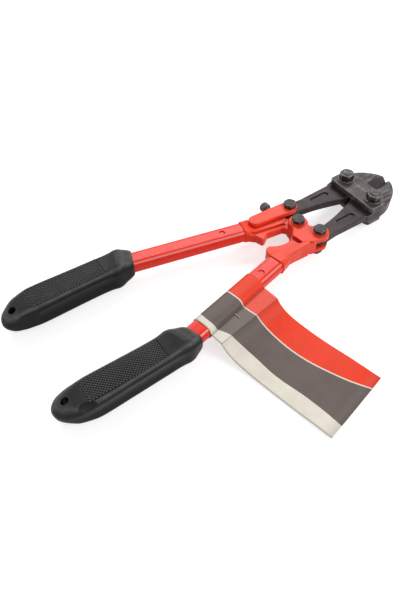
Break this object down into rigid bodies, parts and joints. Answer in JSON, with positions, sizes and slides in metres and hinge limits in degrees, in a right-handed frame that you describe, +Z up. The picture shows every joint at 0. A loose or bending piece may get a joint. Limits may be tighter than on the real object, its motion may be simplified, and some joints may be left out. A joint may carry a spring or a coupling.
{
  "type": "bolt cutters",
  "caption": "Compound-lever bolt cutters with centre-cut jaws, linked by plates to splayed tubular handles with rubber grips and a screw adjuster.",
  "frame": {"origin": "end face of the centre pivot bolt, on the table plane under the pivot of the two handles", "axes": "+X from the handles to the jaw tips, +Z up from the table, +Y to the handle with the adjuster"},
  "size_m": [0.3597, 0.2203, 0.0329],
  "materials": {
    "forged_steel": "blackened forging, satin",
    "black_fasteners": "black oxide",
    "red_paint": "red gloss enamel over cast iron and tube",
    "grip_rubber": "matt black with a diamond texture",
    "tag_card": "printed in plain red, grey and cream bands",
    "staple_wire": "bright wire"
  },
  "bodies": {
    "link": {"link_plate_top": "forged_steel", "link_plate_bottom": "forged_steel", "link_bolts": "black_fasteners", "link_washers": "black_fasteners", "link_nuts": "black_fasteners"},
    "jaw_upper": {"upper_jaw": "forged_steel"},
    "jaw_lower": {"lower_jaw": "forged_steel"},
    "clevis": {"adjuster_clevis": "red_paint", "clevis_pin": "red_paint", "upper_jaw_bolt": "black_fasteners", "upper_jaw_nut": "black_fasteners"},
    "adjuster": {"adjuster_screw": "black_fasteners"},
    "handle_upper": {"upper_socket": "red_paint", "upper_tube": "red_paint", "upper_grip": "grip_rubber"},
    "handle_lower": {"lower_socket": "red_paint", "lower_tube": "red_paint", "lower_grip": "grip_rubber", "centre_bolt": "black_fasteners", "centre_nut": "black_fasteners", "lower_jaw_bolt": "black_fasteners", "lower_jaw_nut": "black_fasteners", "card_tag": "tag_card", "tag_staple": "staple_wire"}
  },
  "joints": [
    {"name": "upper_jaw_turn", "type": "hinge", "parent": "link", "child": "jaw_upper", "pos_m": [0.0716, 0.017, 0.015], "axis": [0, 0, 1], "range_deg": [0, 7.51]},
    {"name": "lower_jaw_turn", "type": "hinge", "parent": "link", "child": "jaw_lower", "pos_m": [0.0716, -0.017, 0.015], "axis": [0, 0, -1], "range_deg": [0, 7.51]},
    {"name": "handle_swing", "type": "hinge", "parent": "jaw_upper", "child": "clevis", "pos_m": [0.007, 0.0196, 0.015], "axis": [0, 0, -1], "range_deg": [0, 47.46]},
    {"name": "lower_handle_swing", "type": "hinge", "parent": "jaw_lower", "child": "handle_lower", "pos_m": [0.007, -0.0196, 0.015], "axis": [0, 0, 1], "range_deg": [0, 47.51]},
    {"name": "adjuster_set", "type": "hinge", "parent": "clevis", "child": "handle_upper", "pos_m": [-0.0293, 0.0226, 0.015], "axis": [0, 0, 1], "range_deg": [-0.7, 0.7]},
    {"name": "screw_turn", "type": "hinge", "parent": "clevis", "child": "adjuster", "pos_m": [-0.0065, 0.03, 0.015], "axis": [0, 1, 0], "range_deg": [-101, 101]}
  ],
  "couplings": [
    {"joint": "upper_jaw_turn", "follows": "handle_swing", "ratio": 0.15718},
    {"joint": "lower_jaw_turn", "follows": "handle_swing", "ratio": 0.15718},
    {"joint": "lower_handle_swing", "follows": "handle_swing", "ratio": 1},
    {"joint": "screw_turn", "follows": "adjuster_set", "ratio": 143.3}
  ]
}
